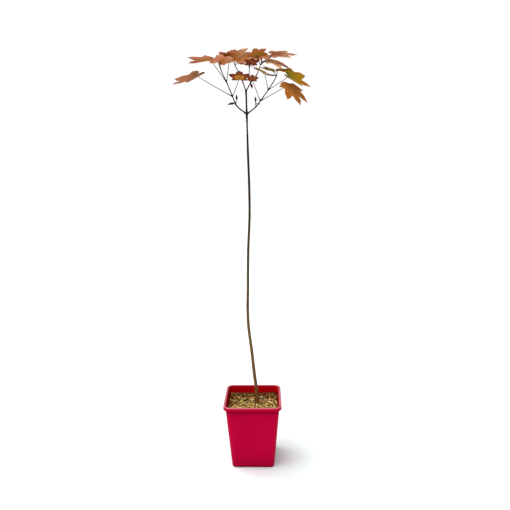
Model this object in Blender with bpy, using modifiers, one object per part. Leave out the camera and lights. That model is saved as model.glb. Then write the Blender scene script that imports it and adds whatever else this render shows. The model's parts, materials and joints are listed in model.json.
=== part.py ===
"""A young red-leaved Norway maple on a thin bare stem, in a square plastic pot.

Metres, +Z up. The origin is the centre of the pot's underside, and -Y is the front.
A bearing is in degrees round +Z from +X, and a rise is in degrees above level.
"""

import math
import random

import bmesh
import bpy
from mathutils import Vector

MM = 0.001
GAP = 0.3 * MM

# Pot: widths are across the flats of rounded squares
POT_HEIGHT = 248 * MM
RIM_WIDTH = 215 * MM
BODY_TOP_WIDTH = 202 * MM
BODY_FOOT_WIDTH = 158 * MM
WALL = 2.0 * MM
FLOOR = 2.5 * MM
LIP_DROP = 13 * MM
LIP_WALL = 2.2 * MM
LIP_HOLLOW = 3.0 * MM
LIP_CORNER = 26 * MM
BRIM_EDGE = 1.2 * MM
RIM_CORNER = 22 * MM
FOOT_CORNER = 17 * MM
FOOT_EDGE = 4.0 * MM
FOOT_ROUNDING = 0.3
CORNER_STEPS = 5
NOTCH_LENGTH = 78 * MM
NOTCH_HEIGHT = 3.0 * MM
NOTCH_DEPTH = 7.0 * MM
DRAIN_DIAMETER = 9 * MM
DRAIN_OFFSET = 48 * MM
DRAIN_SEGMENTS = 12

# Growing medium inside the pot, mounded by rings of (share of width, share of the edge's drop)
SOIL_TOP = 220 * MM
SOIL_EDGE_DROP = 3.0 * MM
SOIL_MOUND = ((0.7, 0.2), (0.45, 0.0))

# Trunk: height, sideways and backward offset, and diameter, in millimetres
TRUNK_STATIONS = (
    (220.3, 12.8, 12.7, 24.0),
    (224, 12.8, 12.7, 20.0),
    (234, 13.2, 12.7, 16.5),
    (266, 12.9, 13.1, 13.4),
    (332, 5.8, 12.8, 12.4),
    (402, -0.6, 11.5, 11.7),
    (542, -14.8, 8.7, 10.6),
    (682, -13.5, 8.8, 9.8),
    (812, -10.6, 10.5, 9.4),
    (942, -4.0, 11.8, 9.0),
    (1032, -3.8, 11.8, 8.6),
    (1162, -6.6, 10.7, 7.9),
    (1287, -8.7, 9.8, 7.6),
    (1299, -8.9, 9.5, 8.8),
    (1312, -9.1, 9.5, 7.2),
    (1366, -10.1, 9.5, 6.6),
    (1377, -10.4, 9.5, 7.4),
    (1382, -10.5, 9.5, 7.0),
)
WHORL = Vector((-8.9, 9.5, 1298.0)) * MM
FORK = Vector((-10.4, 9.5, 1376.0)) * MM

# Limbs: the point each grows from, its diameters at foot and tip in millimetres,
# and its internodes as (length in millimetres, bearing, rise)
LIMBS = {
    "bough_left": (WHORL, (5.0, 4.0), ((51, 195, 40), (26, 200, 67))),
    "bough_right": (WHORL, (5.0, 4.0), ((42, 0, 38), (22, 355, 50))),
    "arm_left": (FORK, (4.2, 3.0), ((33, 159, 70), (43, 156, 65), (24, 162, 62))),
    "arm_right": (FORK, (4.2, 3.0), ((33, 11, 60), (32, 357, 51), (36, 348, 65))),
    "arm_middle": ("arm_right", (3.4, 2.6), ((28, 118, 69), (29, 88, 69))),
}

# Masses of leaves: the limb that carries each, the internodes of its stem, and its leaves.
# A leaf is (node of the stem, petiole (length, bearing, rise), blade (length, heading,
# tilt, roll, droop, fold, spread of its lobes)), with lengths in millimetres and fold in
# degrees a side
MASSES = {
    "leaves_left": (
        "bough_left",
        ((54, 202, 66), (52, 199, 65), (12, 193, 74)),
        (
            (0, (146, 187, 29), (91, 201, -31, -17, -0.15, -2, 1.0)),
            (0, (76, 301, 44), (46, 272, 21, -1, 0.06, 2, 1.12)),
            (1, (89, 195, 53), (89, 158, -2, -6, -0.02, 8, 0.95)),
            (1, (80, 320, 78), (58, 285, 15, -3, 0.09, 4, 1.0)),
            (2, (22, 284, 55), (58, 327, 10, -7, 0.09, 7, 1.08)),
            (2, (97, 96, 30), (66, 128, 2, 2, 0.08, -3, 1.0)),
        ),
    ),
    "leaves_top_left": (
        "arm_left",
        ((13, 163, 72),),
        (
            (0, (31, 239, 53), (80, 320, 15, 4, 0.09, 1, 0.93)),
            (0, (92, 77, 30), (76, 92, -4, -4, 0.08, 0, 1.05)),
        ),
    ),
    "leaves_middle": (
        "arm_middle",
        ((10, 83, 76),),
        (
            (0, (15, 333, 60), (37, 281, 26, 1, 0.10, 4, 1.0)),
            (0, (26, 100, 44), (48, 180, 4, -10, 0.08, 2, 0.98)),
        ),
    ),
    "leaves_top_right": (
        "arm_right",
        ((11, 348, 68), (8, 353, 74)),
        (
            (0, (35, 202, 64), (46, 322, 22, -5, 0.06, 6, 1.15)),
            (0, (65, 22, 39), (84, 352, -2, 2, 0.06, 0, 0.9)),
            (1, (28, 13, 13), (82, 6, -12, 4, 0.14, 4, 0.9)),
            (1, (89, 92, 29), (60, 102, -2, 1, 0.09, 2, 0.95)),
            (1, (104, 61, 25), (63, 39, 6, 3, 0.10, 4, 0.97)),
        ),
    ),
    "leaves_right": (
        "bough_right",
        ((48, 351, 52), (54, 351, 57), (4, 353, 66)),
        (
            (0, (117, 358, 28), (95, 314, -54, -1, 0.06, 0, 0.7)),
            (0, (83, 240, 50), (28, 277, 27, -7, 0.03, 3, 1.05)),
            (1, (87, 3, 32), (84, 8, -29, 34, -0.08, 8, 0.95)),
            (1, (70, 256, 47), (53, 182, 26, -18, 0.05, -1, 0.87)),
            (2, (27, 128, 47), (50, 174, 18, -1, 0.03, 7, 0.88)),
            (2, (26, 63, 64), (55, 352, -5, 20, 0.05, 2, 0.84)),
            (2, (9, 181, 12), (36, 179, 10, -19, 0.02, 2, 0.7)),
        ),
    ),
}

# Young shoots: the limb and its node, the stem (length, bearing, rise), and folded leaves
# as (share of the stem, stalk (length, bearing, rise), blade (length, heading, tilt))
SHOOTS = {
    "shoot_left": (
        "bough_left",
        1,
        (13, 50, 76),
        ((0.9, (5, 60, 76), (20, 100, 78)), (0.9, (24, 251, -30), (24, 188, -5))),
    ),
    "shoot_right": (
        "bough_right",
        1,
        (15, 153, 80),
        ((0.9, (4, 100, 76), (20, 100, 76)), (0.9, (18, 316, -24), (10, 20, 8))),
    ),
    "shoot_top": (
        "arm_right",
        1,
        (7, 288, -30),
        ((0.9, (3, 303, -62), (17, 303, -62)),),
    ),
}

# Half of a blade's outline from its tip round to its base: (degrees from the midrib,
# share of the blade's length)
BLADE_OUTLINE = (
    (0, 1.00),
    (8, 0.83),
    (14, 0.84),
    (25, 0.59),
    (37, 0.79),
    (50, 0.95),
    (58, 0.79),
    (64, 0.76),
    (79, 0.52),
    (104, 0.68),
    (122, 0.46),
    (150, 0.29),
    (180, 0.07),
)
YOUNG_OUTLINE = ((0, 1.00), (14, 0.74), (34, 0.46), (70, 0.22), (180, 0.06))
BLADE_THICKNESS = 1.2 * MM
PETIOLE_DIAMETER = (2.8, 2.0)
LOBE_VARIATION = 0.05
PETIOLE_SAG = 0.01
PETIOLE_REACH = 0.14
NODE_SWELL = 1.25
LIMB_STEPS = 3
STEM_TAPER = 0.75
LEAF_ROUGHNESS = 0.5
STEM_FOOT = 1.5 * MM
STEM_LIFT = 2.5 * MM
SHOOT_DIAMETERS = (3.0, 2.6)
# Roll, droop, fold and spread of an unopened leaf
YOUNG_BEND = (35, 0.05, 25, 1.0)
SEED = 27

BARK = ((0.145, 0.075, 0.040), 0.75)
TWIG_BARK = ((0.060, 0.028, 0.030), 0.6)
POT_RED = ((0.440, 0.002, 0.030), 0.42)
CHIPS = ((0.300, 0.170, 0.075), 0.95)
LEAF_COLOURS = {
    "leaves_left": (0.52, 0.17, 0.10),
    "leaves_top_left": (0.50, 0.16, 0.12),
    "leaves_middle": (0.30, 0.06, 0.03),
    "leaves_top_right": (0.50, 0.18, 0.07),
    "leaves_right": (0.42, 0.20, 0.04),
}
YOUNG_COLOUR = (0.12, 0.02, 0.04)


def clear_scene():
    for obj in list(bpy.data.objects):
        bpy.data.objects.remove(obj, do_unlink=True)


def new_collection(name, hidden=False):
    collection = bpy.data.collections.new(name)
    bpy.context.scene.collection.children.link(collection)
    collection.hide_render = hidden
    return collection


def material(name, colour, roughness):
    mat = bpy.data.materials.new(name)
    mat.use_nodes = True
    shader = mat.node_tree.nodes["Principled BSDF"]
    shader.inputs["Base Color"].default_value = (*colour, 1)
    shader.inputs["Roughness"].default_value = roughness
    shader.inputs["Metallic"].default_value = 0.0
    return mat


def direction(bearing, rise):
    turn, climb = math.radians(bearing), math.radians(rise)
    level = math.cos(climb)
    return Vector((math.cos(turn) * level, math.sin(turn) * level, math.sin(climb)))


def walk(start, internodes):
    """The nodes along a limb, from its start, one internode after another."""
    nodes = [start.copy()]
    for length, bearing, rise in internodes:
        nodes.append(nodes[-1] + direction(bearing, rise) * length * MM)
    return nodes


def smooth(points, steps):
    """A curve through rows of numbers, with this many steps a stretch and no overshoot."""
    rows = [Vector(p) for p in points]
    spans = [(b - a).length for a, b in zip(rows, rows[1:])]
    slopes = [(b - a) / span for a, b, span in zip(rows, rows[1:], spans)]
    turns = [slopes[0]]
    for i in range(1, len(spans)):
        share = spans[i - 1] / (spans[i - 1] + spans[i])
        turns.append(slopes[i - 1].lerp(slopes[i], share))
    turns.append(slopes[-1])
    curve = []
    for i, span in enumerate(spans):
        for k in range(steps):
            t = k / steps
            curve.append(
                rows[i] * (2 * t**3 - 3 * t**2 + 1)
                + turns[i] * (span * (t**3 - 2 * t**2 + t))
                + rows[i + 1] * (3 * t**2 - 2 * t**3)
                + turns[i + 1] * (span * (t**3 - t**2))
            )
    return curve + [rows[-1]]


def add_object(name, mesh, mat, collection):
    obj = bpy.data.objects.new(name, mesh)
    collection.objects.link(obj)
    mesh.materials.clear()
    mesh.materials.append(mat)
    return obj


def evaluated_mesh(obj):
    graph = bpy.context.evaluated_depsgraph_get()
    return bpy.data.meshes.new_from_object(obj.evaluated_get(graph))


def tube(name, points, radii, mat, collection, round_steps=2):
    """A tapering limb along the points, as a mesh with its caps welded."""
    data = bpy.data.curves.new(name + "_path", "CURVE")
    data.dimensions = "3D"
    data.bevel_depth = 1.0
    data.bevel_resolution = round_steps
    data.use_fill_caps = True
    spline = data.splines.new("POLY")
    spline.points.add(len(points) - 1)
    for knot, point, radius in zip(spline.points, points, radii):
        knot.co = (*point, 1)
        knot.radius = radius
    curve = bpy.data.objects.new(name + "_path", data)
    collection.objects.link(curve)
    bpy.context.view_layer.update()
    mesh = evaluated_mesh(curve)
    weld = bmesh.new()
    weld.from_mesh(mesh)
    bmesh.ops.remove_doubles(weld, verts=weld.verts, dist=0.01 * MM)
    bmesh.ops.recalc_face_normals(weld, faces=weld.faces)
    weld.to_mesh(mesh)
    weld.free()
    obj = add_object(name, mesh, mat, collection)
    obj.matrix_world = curve.matrix_world
    bpy.data.objects.remove(curve)
    bpy.data.curves.remove(data)
    mesh.shade_smooth()
    return obj


def apply_modifiers(obj):
    bpy.context.view_layer.update()
    mesh = evaluated_mesh(obj)
    obj.modifiers.clear()
    obj.data = mesh


def boolean(obj, operation, other=None, group=None):
    """Applies an exact Boolean with one object or with a whole collection."""
    cut = obj.modifiers.new(operation.lower(), "BOOLEAN")
    cut.operation = operation
    cut.solver = "EXACT"
    if group is None:
        cut.object = other
    else:
        cut.operand_type = "COLLECTION"
        cut.collection = group
    apply_modifiers(obj)


def square_ring(width, corner, height):
    """The points of a rounded square, from its +X side round through +Y."""
    ring = []
    straight = width / 2 - corner
    for quarter in range(4):
        centre = math.radians(45 + 90 * quarter)
        middle = Vector((math.cos(centre), math.sin(centre), 0)) * straight * math.sqrt(2)
        for step in range(CORNER_STEPS + 1):
            turn = math.radians(90 * (quarter + step / CORNER_STEPS))
            offset = Vector((math.cos(turn), math.sin(turn), 0)) * corner
            ring.append(middle + offset + Vector((0, 0, height)))
    return ring


def loft(name, rings, mat, collection):
    """A closed solid through rings of equal length, with a flat face at each end."""
    shape = bmesh.new()
    loops = [[shape.verts.new(point) for point in ring] for ring in rings]
    for low, high in zip(loops, loops[1:]):
        for k in range(len(low)):
            after = (k + 1) % len(low)
            shape.faces.new((low[k], low[after], high[after], high[k]))
    shape.faces.new(list(reversed(loops[0])))
    shape.faces.new(loops[-1])
    bmesh.ops.recalc_face_normals(shape, faces=shape.faces)
    mesh = bpy.data.meshes.new(name)
    shape.to_mesh(mesh)
    shape.free()
    return add_object(name, mesh, mat, collection)


def body_width(height):
    """The outer width of the pot's tapering body at a height."""
    return BODY_FOOT_WIDTH + (BODY_TOP_WIDTH - BODY_FOOT_WIDTH) * height / POT_HEIGHT


def body_corner(height):
    return FOOT_CORNER + (RIM_CORNER - FOOT_CORNER) * height / POT_HEIGHT


def inner_ring(height, clearance=0.0):
    """The pot's inner face at a height, or a ring inside it by a clearance."""
    inset = WALL + clearance
    return square_ring(body_width(height) - 2 * inset, body_corner(height) - inset, height)


def box_cutter(name, size, centre, collection):
    bpy.ops.mesh.primitive_cube_add(size=1, location=centre)
    box = bpy.context.object
    box.name = name
    box.scale = size
    bpy.ops.object.transform_apply(location=False, rotation=False, scale=True)
    for owner in list(box.users_collection):
        owner.objects.unlink(box)
    collection.objects.link(box)
    return box


def drain_cutter(centre, collection):
    hole = bmesh.new()
    bmesh.ops.create_cone(
        hole,
        cap_ends=True,
        segments=DRAIN_SEGMENTS,
        radius1=DRAIN_DIAMETER / 2,
        radius2=DRAIN_DIAMETER / 2,
        depth=4 * FLOOR,
    )
    mesh = bpy.data.meshes.new("drain")
    hole.to_mesh(mesh)
    hole.free()
    drain = bpy.data.objects.new("drain", mesh)
    drain.location = centre
    collection.objects.link(drain)
    return drain


def pot_rings():
    """The shell's rings from its underside, up its outside, over the lip and down inside."""
    lip_foot = POT_HEIGHT - LIP_DROP
    under_lip = lip_foot + LIP_HOLLOW
    brim = POT_HEIGHT - BRIM_EDGE
    rounding = FOOT_EDGE * FOOT_ROUNDING
    hollow_width = RIM_WIDTH - 2 * LIP_WALL
    hollow_corner = LIP_CORNER - LIP_WALL
    mouth_width = body_width(brim) - 2 * WALL + 2 * BRIM_EDGE
    return [
        square_ring(BODY_FOOT_WIDTH - 2 * FOOT_EDGE, FOOT_CORNER - FOOT_EDGE, 0),
        square_ring(BODY_FOOT_WIDTH - 2 * rounding, FOOT_CORNER - rounding, rounding),
        square_ring(body_width(FOOT_EDGE), FOOT_CORNER, FOOT_EDGE),
        square_ring(body_width(under_lip), body_corner(lip_foot), under_lip),
        square_ring(hollow_width, hollow_corner, under_lip),
        square_ring(hollow_width, hollow_corner, lip_foot),
        square_ring(RIM_WIDTH, LIP_CORNER, lip_foot),
        square_ring(RIM_WIDTH, LIP_CORNER, brim),
        square_ring(RIM_WIDTH - 2 * BRIM_EDGE, LIP_CORNER - BRIM_EDGE, POT_HEIGHT),
        square_ring(mouth_width, RIM_CORNER, POT_HEIGHT),
        inner_ring(brim),
        inner_ring(FLOOR),
    ]


def build_pot(parts, cutters):
    """The tapering shell with its rolled lip, notches under its sides, and drain holes."""
    pot = loft("pot", pot_rings(), material("pot_plastic", *POT_RED), parts)
    for quarter in range(4):
        out = Vector((1, 0, 0)) if quarter % 2 == 0 else Vector((0, 1, 0))
        along = Vector((out.y, out.x, 0))
        size = along * NOTCH_LENGTH + out * 2 * NOTCH_DEPTH
        size.z = 2 * NOTCH_HEIGHT
        side = 1 if quarter < 2 else -1
        centre = out * side * BODY_FOOT_WIDTH / 2
        boolean(pot, "DIFFERENCE", box_cutter("notch_%d" % quarter, size, centre, cutters))
    for x in (-DRAIN_OFFSET, DRAIN_OFFSET):
        for y in (-DRAIN_OFFSET, DRAIN_OFFSET):
            boolean(pot, "DIFFERENCE", drain_cutter((x, y, 0), cutters))


def build_soil(parts):
    """The pot's filling, slightly mounded, level round the trunk's foot."""
    edge_height = SOIL_TOP - SOIL_EDGE_DROP
    rings = [inner_ring(FLOOR + GAP, GAP), inner_ring(edge_height, GAP)]
    for share, drop in SOIL_MOUND:
        width = body_width(edge_height) * share
        rings.append(square_ring(width, RIM_CORNER, SOIL_TOP - SOIL_EDGE_DROP * drop))
    loft("soil", rings, material("bark_chips", *CHIPS), parts)


def limb_shape(start, diameters, internodes):
    """The smooth points and radii of a limb that tapers evenly and swells at its nodes."""
    nodes = walk(start, internodes)
    points = smooth(nodes, LIMB_STEPS)
    foot, tip = diameters
    radii = []
    for k in range(len(points)):
        share = k / (len(points) - 1)
        at_node = k % LIMB_STEPS == 0 and 0 < k < len(points) - 1
        swell = NODE_SWELL if at_node else 1.0
        radii.append((foot + (tip - foot) * share) / 2 * MM * swell)
    return nodes, points, radii


def seat(obj, shape, cutters):
    """Cuts a piece back so that it stays clear of the limb of this shape."""
    points, radii = shape
    first = points[0] + (points[0] - points[1]).normalized() * GAP
    last = points[-1] + (points[-1] - points[-2]).normalized() * GAP
    wider = [r + GAP for r in radii]
    mat = obj.data.materials[0]
    cutter = tube(obj.name + "_seat", [first, *points[1:-1], last], wider, mat, cutters)
    boolean(obj, "DIFFERENCE", cutter)


def lobe_turn(angle, spread):
    """An outline angle in radians once the lobes are spread, kept on its own side."""
    return math.radians(max(-180, min(180, angle * spread)))


def blade_points(outline, length, droop, fold, spread, rng):
    """The outline as (x along the midrib, y to the left, z up) and its half-way ring."""
    half = [(a, r * (1 + rng.uniform(-LOBE_VARIATION, LOBE_VARIATION))) for a, r in outline]
    other = [(-a, r * (1 + rng.uniform(-LOBE_VARIATION, LOBE_VARIATION))) for a, r in outline]
    ring = half + other[-2:0:-1]
    tilt = math.radians(fold)

    def at(angle, radius):
        turn = lobe_turn(angle, spread)
        x, y = radius * math.cos(turn), radius * math.sin(turn)
        z = abs(y) * math.sin(tilt) - droop * (x * x + y * y)
        return Vector((x, y * math.cos(tilt), z)) * length

    return [at(a, r) for a, r in ring], [at(a, r * 0.5) for a, r in ring]


def blade_axes(heading, tilt, roll):
    """The midrib's, left side's and upper face's directions."""
    along = direction(heading, tilt)
    left = Vector((-math.sin(math.radians(heading)), math.cos(math.radians(heading)), 0))
    upper = along.cross(left)
    turn = math.radians(roll)
    return (
        along,
        left * math.cos(turn) + upper * math.sin(turn),
        upper * math.cos(turn) - left * math.sin(turn),
    )


def build_blade(base, axes, rings, mat, collection):
    """A thin lobed sheet, bent by its rings and thickened evenly to both sides."""
    outer, middle = rings

    def place(p):
        return base + axes[0] * p.x + axes[1] * p.y + axes[2] * p.z

    sheet = bmesh.new()
    centre = sheet.verts.new(base)
    inner = [sheet.verts.new(place(p)) for p in middle]
    edge = [sheet.verts.new(place(p)) for p in outer]
    count = len(edge)
    for k in range(count):
        after = (k + 1) % count
        sheet.faces.new((centre, inner[k], inner[after]))
        sheet.faces.new((inner[k], edge[k], edge[after], inner[after]))
    bmesh.ops.triangulate(sheet, faces=sheet.faces)
    mesh = bpy.data.meshes.new("blade")
    sheet.to_mesh(mesh)
    sheet.free()
    blade = add_object("blade", mesh, mat, collection)
    thicken = blade.modifiers.new("thickness", "SOLIDIFY")
    thicken.thickness = BLADE_THICKNESS
    thicken.offset = 0
    apply_modifiers(blade)
    return blade


def build_leaf(node, petiole, blade, outline, rng, mat, collection):
    """A petiole that rises from its node in a slight bow and ends inside its blade."""
    length, bearing, rise = petiole
    size, heading, tilt, roll, droop, fold, spread = blade
    size *= MM
    base = node + direction(bearing, rise) * length * MM
    axes = blade_axes(heading, tilt, roll)
    bow = Vector((0, 0, -PETIOLE_SAG * length * MM * math.cos(math.radians(rise))))
    route = [node, node.lerp(base, 0.5) + bow, base, base + axes[0] * size * PETIOLE_REACH]
    foot, tip = (d / 2 * MM for d in PETIOLE_DIAMETER)
    points = smooth(route[:3], 2) + [route[3]]
    radii = [foot + (tip - foot) * min(1, k / (len(points) - 2)) for k in range(len(points))]
    tube("petiole", points, radii, mat, collection, round_steps=0)
    rings = blade_points(outline, size, droop, fold, spread, rng)
    build_blade(base, axes, rings, mat, collection)


def join_twigs(stem, twigs, name):
    """One Boolean union on the collection, which is then emptied and removed."""
    boolean(stem, "UNION", group=twigs)
    for obj in list(twigs.objects):
        bpy.data.objects.remove(obj, do_unlink=True)
    bpy.data.collections.remove(twigs)
    stem.name = name


def build_mass(name, limb_shape_below, internodes, leaves, parts, rng):
    """A stem that starts just clear of its limb's tip, with its leaves fused on."""
    mat = material(name, LEAF_COLOURS[name], LEAF_ROUGHNESS)
    below, radii_below = limb_shape_below
    onward = (below[-1] - below[-2]).normalized()
    diameter = radii_below[-1] * 2 / MM
    nodes, points, radii = limb_shape(below[-1], (diameter, diameter * STEM_TAPER), internodes)
    foot = [below[-1] + onward * GAP, below[-1] + onward * STEM_FOOT]
    stem = tube(name, foot + points[1:], [radii[0], *radii], mat, parts, round_steps=1)
    twigs = new_collection(name + "_twigs", hidden=True)
    lift = direction(*internodes[0][1:]) * STEM_LIFT
    for index, petiole, blade in leaves:
        node = nodes[index] + (lift if index == 0 else Vector())
        build_leaf(node, petiole, blade, BLADE_OUTLINE, rng, mat, twigs)
    join_twigs(stem, twigs, name)


def build_shoot(name, node, limb_shape_below, stem, leaves, parts, cutters, rng):
    """A short young shoot that leaves a limb's node, with folded leaves at its tip."""
    mat = material(name, YOUNG_COLOUR, LEAF_ROUGHNESS)
    nodes, points, radii = limb_shape(node, SHOOT_DIAMETERS, (stem,))
    shoot = tube(name, points, radii, mat, parts, round_steps=1)
    seat(shoot, limb_shape_below, cutters)
    twigs = new_collection(name + "_twigs", hidden=True)
    for share, stalk, blade in leaves:
        at = nodes[0].lerp(nodes[-1], share)
        build_leaf(at, stalk, (*blade, *YOUNG_BEND), YOUNG_OUTLINE, rng, mat, twigs)
    join_twigs(shoot, twigs, name)


def build_plant(parts, cutters):
    rng = random.Random(SEED)
    bark = material("bark", *BARK)
    twig_bark = material("twig_bark", *TWIG_BARK)
    rows = smooth([(x, y, z, d) for z, x, y, d in TRUNK_STATIONS], 2)
    shapes = {"trunk": ([row.xyz * MM for row in rows], [row.w / 2 * MM for row in rows])}
    tube("trunk", *shapes["trunk"], bark, parts)
    limb_nodes = {}
    for name, (start, diameters, internodes) in LIMBS.items():
        if isinstance(start, str):
            start = limb_nodes[start][1]
        nodes, points, radii = limb_shape(start, diameters, internodes)
        limb_nodes[name] = nodes
        limb = tube(name, points, radii, twig_bark, parts)
        for shape in shapes.values():
            seat(limb, shape, cutters)
        shapes[name] = (points, radii)
    for name, (limb, internodes, leaves) in MASSES.items():
        build_mass(name, shapes[limb], internodes, leaves, parts, rng)
    for name, (limb, index, stem, leaves) in SHOOTS.items():
        node = limb_nodes[limb][index]
        build_shoot(name, node, shapes[limb], stem, leaves, parts, cutters, rng)


def main():
    clear_scene()
    parts = new_collection("potted_maple")
    cutters = new_collection("cutters", hidden=True)
    build_pot(parts, cutters)
    build_soil(parts)
    build_plant(parts, cutters)
    for cutter in cutters.objects:
        cutter.hide_render = True
        cutter.display_type = "WIRE"


main()
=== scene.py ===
"""The dressed young maple: bark, twigs, petioles, lobed leaves, and its pot of bark chips.

Metres, +Z up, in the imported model's frame, with -Y as the front. A bearing is in degrees
round +Z from +X, and a rise is in degrees above level.
"""

import json
import random
from math import atan2, cos, degrees, exp, hypot, pi, radians, sin, sqrt, tan, tau

import bmesh
import bpy
from mathutils import Matrix, Vector, noise


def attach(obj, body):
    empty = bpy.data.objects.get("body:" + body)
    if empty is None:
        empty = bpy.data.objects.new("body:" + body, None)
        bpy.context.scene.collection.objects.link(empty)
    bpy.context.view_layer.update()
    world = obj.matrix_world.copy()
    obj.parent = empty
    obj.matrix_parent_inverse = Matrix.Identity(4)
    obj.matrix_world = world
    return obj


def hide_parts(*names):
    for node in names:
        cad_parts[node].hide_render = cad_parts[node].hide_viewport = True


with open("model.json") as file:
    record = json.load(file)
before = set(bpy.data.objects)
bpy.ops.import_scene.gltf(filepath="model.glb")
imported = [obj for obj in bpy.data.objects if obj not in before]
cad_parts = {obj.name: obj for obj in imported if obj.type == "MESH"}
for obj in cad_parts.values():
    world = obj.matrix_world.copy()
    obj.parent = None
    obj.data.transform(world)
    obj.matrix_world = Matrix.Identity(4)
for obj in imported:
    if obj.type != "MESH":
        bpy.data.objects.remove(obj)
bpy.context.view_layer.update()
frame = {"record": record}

MM = 0.001
SEED = 27

# Camera, fitted to the pot in the photograph
CAMERA_PLACE = Vector((0.0644, -1.7798, 1.0582))
CAMERA_TURN = 1.61
CAMERA_DIP = 8.418
CAMERA_ROLL = -0.716
CAMERA_LENS = 34.56
SENSOR_WIDTH = 36.0

# Pot: widths are across the flats of rounded squares
POT_HEIGHT = 248 * MM
RIM_WIDTH = 215 * MM
BODY_TOP_WIDTH = 202 * MM
BODY_FOOT_WIDTH = 158 * MM
WALL = 2.0 * MM
FLOOR = 2.5 * MM
LIP_DROP = 13 * MM
LIP_WALL = 2.2 * MM
LIP_HOLLOW = 3.0 * MM
LIP_CORNER = 26 * MM
LIP_CROWN = 3.2 * MM
LIP_FOOT_EDGE = 0.8 * MM
RIM_CORNER = 22 * MM
FOOT_CORNER = 17 * MM
FOOT_EDGE = 4.0 * MM
CORNER_STEPS = 12
ARC_STEPS = 5
NOTCH_LENGTH = 78 * MM
NOTCH_HEIGHT = 3.0 * MM
NOTCH_DEPTH = 7.0 * MM
DRAIN_DIAMETER = 9 * MM
DRAIN_OFFSET = 48 * MM
DRAIN_SEGMENTS = 24

# Growing medium: a lumpy bed, and chips as (length range in millimetres, count) by size
SOIL_TOP = 218 * MM
SOIL_EDGE_DROP = 3.0 * MM
SOIL_LUMPS = 2.2 * MM
# Lumps as (how many a metre, share of the height)
SOIL_LUMP_KINDS = ((55, 1.0), (130, 0.5))
SOIL_CORNER_RISE = 6 * MM
SOIL_CLEARANCE = 0.6 * MM
BED_RINGS = 22
CHIP_SIZES = (((8, 15), 150), ((5, 9), 800), ((3, 6), 3400))
CHIP_CLEARANCE = 1.0 * MM
CHIP_TOP = 228 * MM
# Ranges of a chip's width and thickness as shares of its length
CHIP_WIDTH = (0.30, 0.62)
CHIP_THICKNESS = (0.10, 0.24)
# How uneven its corners are in turn, reach and level, and the upper ones' share of the reach
CHIP_CORNERS = 6
CORNER_TURN = 0.22
CORNER_REACH = (0.72, 1.1)
CORNER_LEVEL = (0.6, 1.2)
UPPER_CORNER_REACH = 0.86
# Most chips lie nearly flat: their share, their spread of tilt, and the steepest of the rest
FLAT_SHARE = 0.8
FLAT_TILT = 17
STEEPEST_TILT = 60
CHIP_ROLL = 20
# How high a chip lies off the bed, in thicknesses; a steep one lies a quarter length higher
CHIP_LIFT = (0.1, 0.9)
# Chips keep this far from the trunk's middle, and a third of their length more
FOOT_CLEARANCE = 8 * MM

# Trunk: height, sideways and backward offset, and diameter, in millimetres
TRUNK_STATIONS = (
    (214, 12.8, 12.7, 27.0),
    (220.3, 12.8, 12.7, 24.0),
    (224, 12.8, 12.7, 20.0),
    (234, 13.2, 12.7, 16.5),
    (266, 12.9, 13.1, 13.4),
    (332, 5.8, 12.8, 12.4),
    (402, -0.6, 11.5, 11.7),
    (542, -14.8, 8.7, 10.6),
    (682, -13.5, 8.8, 9.8),
    (812, -10.6, 10.5, 9.4),
    (942, -4.0, 11.8, 9.0),
    (1032, -3.8, 11.8, 8.6),
    (1162, -6.6, 10.7, 7.9),
    (1287, -8.7, 9.8, 7.6),
    (1299, -8.9, 9.5, 8.8),
    (1312, -9.1, 9.5, 7.2),
    (1366, -10.1, 9.5, 6.6),
    (1377, -10.4, 9.5, 7.4),
    (1382, -10.5, 9.5, 7.0),
)
TRUNK_STEP = 2.5 * MM
TRUNK_SIDES = 28
# Nodes on the trunk as (height in millimetres, swelling)
TRUNK_NODES = (
    (1224, 1.0), (1020, 0.6), (939, 0.6), (859, 0.6), (754, 0.5),
    (650, 0.5), (542, 0.5), (430, 0.4), (327, 0.4),
)
# A node's ring: its height, its reach along the stem, how many reaches away it ends and how
# even it is round the stem
NODE_RING = 0.5 * MM
NODE_REACH = 2.2 * MM
NODE_END = 3
NODE_EVENNESS = 0.6
# The scar over it: how many reaches above, its share of the height, and how narrow it is
SCAR_RISE = 1.6
SCAR_SHARE = 0.5
SCAR_NARROWNESS = 2
FISSURE_DEPTH = 0.22 * MM
FISSURE_CAP = 0.25
FINE_SHARE = 0.5
LUMP_DEPTH = 0.25 * MM
# How fast fissures, the fine ones among them and lumps change, round the stem and along it
FISSURE_PACE = (2.4, 46)
FINE_PACE = (3.2, 150)
LUMP_PACE = 24
LIMB_RELIEF = 0.10 * MM
LIMB_PACE = (2, 160)
# Pores on the bark: how many, between which heights in millimetres, and how many of them are
# in the crowded band
LENTICELS = 520
LENTICEL_SPAN = (234, 1366)
LENTICEL_BAND = (1230, 1282)
LENTICELS_IN_BAND = 190
LENTICEL_SIDES = 6
# Ranges of a pore's half width and half height, and how far its edge sinks, its middle stands
# out and its root goes in, all in millimetres
LENTICEL_WIDTH = (0.4, 1.1)
LENTICEL_HEIGHT = (0.3, 0.7)
LENTICEL_SINK = 0.1
LENTICEL_DOME = 0.16
LENTICEL_ROOT = 0.5
WHORL = Vector((-8.9, 9.5, 1298.0)) * MM
FORK = Vector((-10.4, 9.5, 1376.0)) * MM

# Limbs: the point each grows from, its diameters at foot and tip in millimetres,
# and its internodes as (length in millimetres, bearing, rise)
LIMBS = {
    "bough_left": (WHORL, (5.0, 4.0), ((51, 195, 40), (26, 200, 67))),
    "bough_right": (WHORL, (5.0, 4.0), ((42, 0, 38), (22, 355, 50))),
    "arm_left": (FORK, (4.2, 3.0), ((33, 159, 70), (43, 156, 65), (24, 162, 62))),
    "arm_right": (FORK, (4.2, 3.0), ((33, 11, 60), (32, 357, 51), (36, 348, 65))),
    "arm_middle": ("arm_right", (3.4, 2.6), ((28, 118, 69), (29, 88, 69))),
}

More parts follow.
